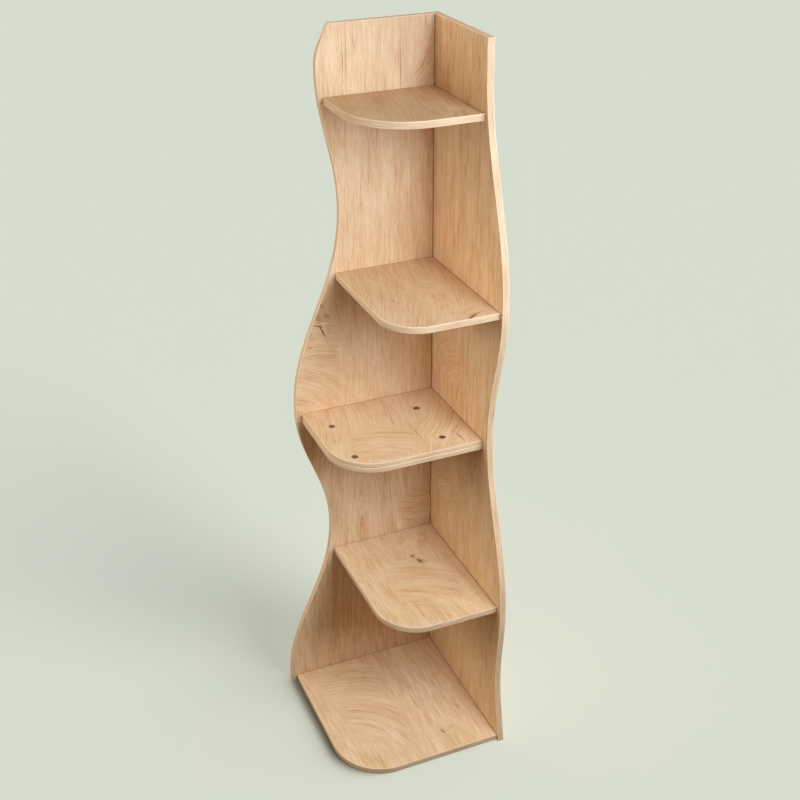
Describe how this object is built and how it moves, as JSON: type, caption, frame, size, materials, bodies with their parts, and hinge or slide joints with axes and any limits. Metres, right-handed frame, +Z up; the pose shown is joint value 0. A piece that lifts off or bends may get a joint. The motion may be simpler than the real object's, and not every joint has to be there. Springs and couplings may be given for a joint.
{
  "type": "corner shelf unit",
  "caption": "Tall open corner shelf unit of light oak board: wavy-edged panels at a right angle, round-cornered shelves between them, bolted through a doubled middle shelf.",
  "frame": {"origin": "on the floor, under the middle of the unit's bounding box", "axes": "+Z up, +Y out of the back panel's outer face, +X out of the side panel's outer face, so the unit opens towards -X and -Y"},
  "size_m": [0.4404, 0.4584, 1.8],
  "materials": {
    "oak_board": "light natural oak decor with fine long grain, cathedral arcs and a few small knots, satin",
    "edge_band": "lighter oak decor edge band with fine grain along its length, satin",
    "joining_fitting": "dark nickel plated steel",
    "screw": "zinc plated steel"
  },
  "bodies": {
    "root": {"lower_back_panel": "oak_board", "upper_back_panel": "oak_board", "lower_side_panel": "oak_board", "upper_side_panel": "oak_board", "base_board": "oak_board", "lower_shelf_board": "oak_board", "lower_joining_board": "oak_board", "upper_joining_board": "oak_board", "upper_shelf_board": "oak_board", "top_shelf_board": "oak_board", "base_edge_band": "edge_band", "lower_shelf_edge_band": "edge_band", "lower_joining_edge_band": "edge_band", "upper_joining_edge_band": "edge_band", "upper_shelf_edge_band": "edge_band", "top_shelf_edge_band": "edge_band", "lower_back_panel_edge_band": "edge_band", "upper_back_panel_edge_band": "edge_band", "lower_side_panel_edge_band": "edge_band", "upper_side_panel_edge_band": "edge_band", "back_panel_top_band": "edge_band", "side_panel_top_band": "edge_band", "joining_bolt_1": "joining_fitting", "joining_bolt_2": "joining_fitting", "joining_bolt_3": "joining_fitting", "joining_bolt_4": "joining_fitting", "sleeve_nut_1": "joining_fitting", "sleeve_nut_2": "joining_fitting", "sleeve_nut_3": "joining_fitting", "sleeve_nut_4": "joining_fitting", "base_back_screw_1": "screw", "base_back_screw_2": "screw", "base_side_screw_1": "screw", "base_side_screw_2": "screw", "lower_shelf_back_screw_1": "screw", "lower_shelf_back_screw_2": "screw", "lower_shelf_side_screw_1": "screw", "lower_shelf_side_screw_2": "screw", "lower_joining_back_screw_1": "screw", "lower_joining_back_screw_2": "screw", "lower_joining_side_screw_1": "screw", "lower_joining_side_screw_2": "screw", "upper_joining_back_screw_1": "screw", "upper_joining_back_screw_2": "screw", "upper_joining_side_screw_1": "screw", "upper_joining_side_screw_2": "screw", "upper_shelf_back_screw_1": "screw", "upper_shelf_back_screw_2": "screw", "upper_shelf_side_screw_1": "screw", "upper_shelf_side_screw_2": "screw", "top_shelf_back_screw_1": "screw", "top_shelf_back_screw_2": "screw", "top_shelf_side_screw_1": "screw", "top_shelf_side_screw_2": "screw", "corner_screw_1": "screw", "corner_screw_2": "screw", "corner_screw_3": "screw", "corner_screw_4": "screw", "corner_screw_5": "screw"}
  },
  "joints": []
}
